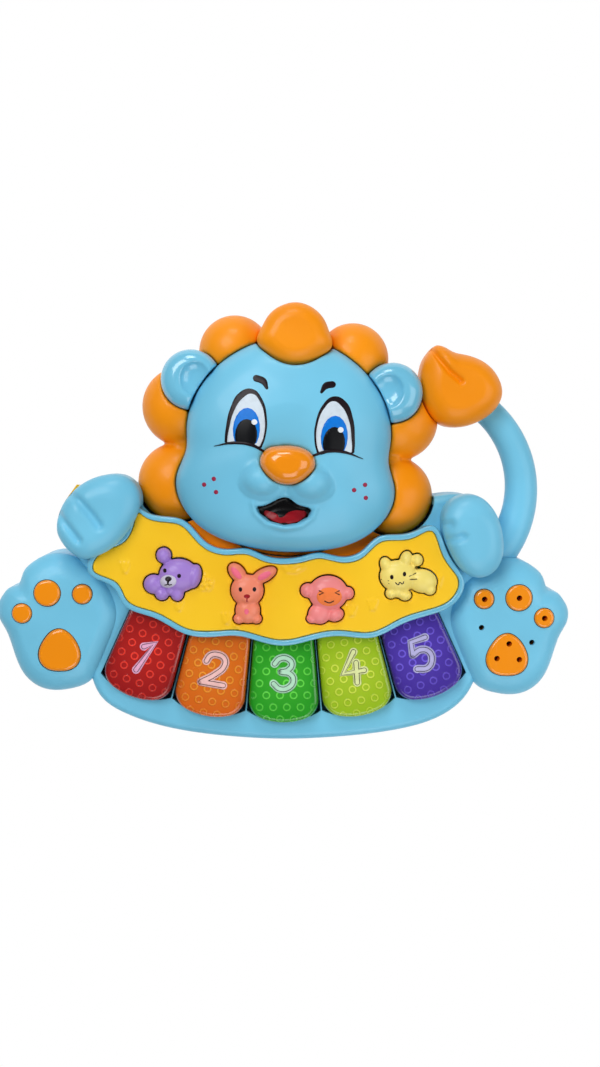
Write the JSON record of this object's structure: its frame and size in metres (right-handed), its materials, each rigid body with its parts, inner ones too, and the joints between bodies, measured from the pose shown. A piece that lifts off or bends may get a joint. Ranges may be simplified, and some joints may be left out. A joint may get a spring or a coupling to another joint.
{
  "type": "toy electronic keyboard",
  "caption": "Lion-shaped toy electronic keyboard with fanned light-up keys, animal song buttons, a speaker in one paw and a looped tail as its carrying handle",
  "frame": {"origin": "on the plane the lion's back rests on, on the middle line under the key fan's upper edge", "axes": "+X towards the lion's tail (to the right as the keys are seen), +Y towards the top of its head, +Z out of its face"},
  "size_m": [0.3078, 0.233, 0.066],
  "materials": {
    "blue_shell": "satin moulded",
    "blue_gloss": "glossy moulded",
    "orange_trim": "satin moulded",
    "orange_gloss": "glossy moulded",
    "yellow_panel": "satin moulded",
    "frame_blue": "glossy moulded",
    "key_red": "clear tinted",
    "key_orange": "clear tinted",
    "key_green": "clear tinted",
    "key_yellow": "clear tinted",
    "key_purple": "clear tinted",
    "bear_purple": "soft satin",
    "rabbit_salmon": "soft satin",
    "monkey_pink": "soft satin",
    "cat_yellow": "soft satin",
    "switch_yellow": "glossy moulded",
    "board_green": "solder mask",
    "white_plastic": "satin moulded",
    "black_plastic": "satin moulded",
    "clear_lamp": "clear",
    "rubber_grey": "soft",
    "cone_paper": "pressed",
    "steel": "plated",
    "nickel": "nickel plated",
    "cell_sleeve": "printed sleeve"
  },
  "bodies": {
    "lion": {"back_cover": "blue_shell", "base_housing": "blue_shell", "batteries": "cell_sleeve", "battery_contacts": "nickel", "key_chassis": "white_plastic", "key_board": "board_green", "key_domes": "rubber_grey", "key_lamps": "clear_lamp", "song_panel": "yellow_panel", "panel_frame": "frame_blue", "panel_board": "board_green", "panel_domes": "rubber_grey", "paw_board": "board_green", "paw_domes": "rubber_grey", "speaker_grille": "orange_gloss", "speaker_basket": "black_plastic", "speaker_cone": "cone_paper", "speaker_magnet": "steel", "left_hand": "blue_shell", "right_hand": "blue_shell", "mane": "orange_trim", "face": "blue_shell", "nose": "orange_gloss", "forelock": "orange_trim", "left_ear": "blue_gloss", "right_ear": "blue_gloss", "tail_front": "blue_shell", "tail_back": "blue_shell", "tail_tuft": "orange_trim", "power_switch_body": "black_plastic", "main_board": "board_green", "chip": "black_plastic", "capacitor": "black_plastic", "housing_screws": "steel", "head_screws": "steel", "board_screws": "steel"},
    "red_key": {"red_key": "key_red"},
    "orange_key": {"orange_key": "key_orange"},
    "green_key": {"green_key": "key_green"},
    "yellow_key": {"yellow_key": "key_yellow"},
    "purple_key": {"purple_key": "key_purple"},
    "bear_button": {"bear_button": "bear_purple"},
    "rabbit_button": {"rabbit_button": "rabbit_salmon"},
    "monkey_button": {"monkey_button": "monkey_pink"},
    "cat_button": {"cat_button": "cat_yellow"},
    "toe_button_middle": {"toe_button_middle": "orange_gloss"},
    "toe_button_inner": {"toe_button_inner": "orange_gloss"},
    "toe_button_outer": {"toe_button_outer": "orange_gloss"},
    "mode_button": {"mode_button": "orange_gloss"},
    "power_switch_knob": {"power_switch_knob": "switch_yellow"},
    "battery_door": {"battery_door": "blue_shell", "battery_door_screw": "steel"}
  },
  "joints": [
    {"name": "red_key_press", "type": "hinge", "parent": "lion", "child": "red_key", "pos_m": [-0.06025, -0.03643, 0.0265], "axis": [0.9403, -0.3404, 0], "range_deg": [0, 3.5], "stiffness_Nm_per_rad": 0.08, "springref_deg": -8.59},
    {"name": "orange_key_press", "type": "hinge", "parent": "lion", "child": "orange_key", "pos_m": [-0.03058, -0.04434, 0.0265], "axis": [0.985, -0.1728, 0], "range_deg": [0, 3.5], "stiffness_Nm_per_rad": 0.08, "springref_deg": -8.59},
    {"name": "green_key_press", "type": "hinge", "parent": "lion", "child": "green_key", "pos_m": [0, -0.047, 0.0265], "axis": [1, 0, 0], "range_deg": [0, 3.5], "stiffness_Nm_per_rad": 0.08, "springref_deg": -8.59},
    {"name": "yellow_key_press", "type": "hinge", "parent": "lion", "child": "yellow_key", "pos_m": [0.03058, -0.04434, 0.0265], "axis": [0.985, 0.1728, 0], "range_deg": [0, 3.5], "stiffness_Nm_per_rad": 0.08, "springref_deg": -8.59},
    {"name": "purple_key_press", "type": "hinge", "parent": "lion", "child": "purple_key", "pos_m": [0.06025, -0.03643, 0.0265], "axis": [0.9403, 0.3404, 0], "range_deg": [0, 3.5], "stiffness_Nm_per_rad": 0.08, "springref_deg": -8.59},
    {"name": "bear_button_press", "type": "slide", "parent": "lion", "child": "bear_button", "axis": [0, 0, -1], "range_m": [0, 0.002], "stiffness_N_per_m": 250, "springref_m": -0.002},
    {"name": "rabbit_button_press", "type": "slide", "parent": "lion", "child": "rabbit_button", "axis": [0, 0, -1], "range_m": [0, 0.002], "stiffness_N_per_m": 250, "springref_m": -0.002},
    {"name": "monkey_button_press", "type": "slide", "parent": "lion", "child": "monkey_button", "axis": [0, 0, -1], "range_m": [0, 0.002], "stiffness_N_per_m": 250, "springref_m": -0.002},
    {"name": "cat_button_press", "type": "slide", "parent": "lion", "child": "cat_button", "axis": [0, 0, -1], "range_m": [0, 0.002], "stiffness_N_per_m": 250, "springref_m": -0.002},
    {"name": "toe_button_middle_press", "type": "slide", "parent": "lion", "child": "toe_button_middle", "axis": [0, 0, -1], "range_m": [0, 0.002], "stiffness_N_per_m": 250, "springref_m": -0.002},
    {"name": "toe_button_inner_press", "type": "slide", "parent": "lion", "child": "toe_button_inner", "axis": [0, 0, -1], "range_m": [0, 0.002], "stiffness_N_per_m": 250, "springref_m": -0.002},
    {"name": "toe_button_outer_press", "type": "slide", "parent": "lion", "child": "toe_button_outer", "axis": [0, 0, -1], "range_m": [0, 0.002], "stiffness_N_per_m": 250, "springref_m": -0.002},
    {"name": "mode_button_press", "type": "slide", "parent": "lion", "child": "mode_button", "axis": [0, 0, -1], "range_m": [0, 0.002], "stiffness_N_per_m": 250, "springref_m": -0.002},
    {"name": "power_switch_slide", "type": "slide", "parent": "lion", "child": "power_switch_knob", "axis": [0.5878, 0.809, 0], "range_m": [-0.003, 0.003]},
    {"name": "battery_door_hinge", "type": "hinge", "parent": "lion", "child": "battery_door", "pos_m": [0, 0.0804, 0.0018], "axis": [1, 0, 0], "range_deg": [0, 35]}
  ]
}
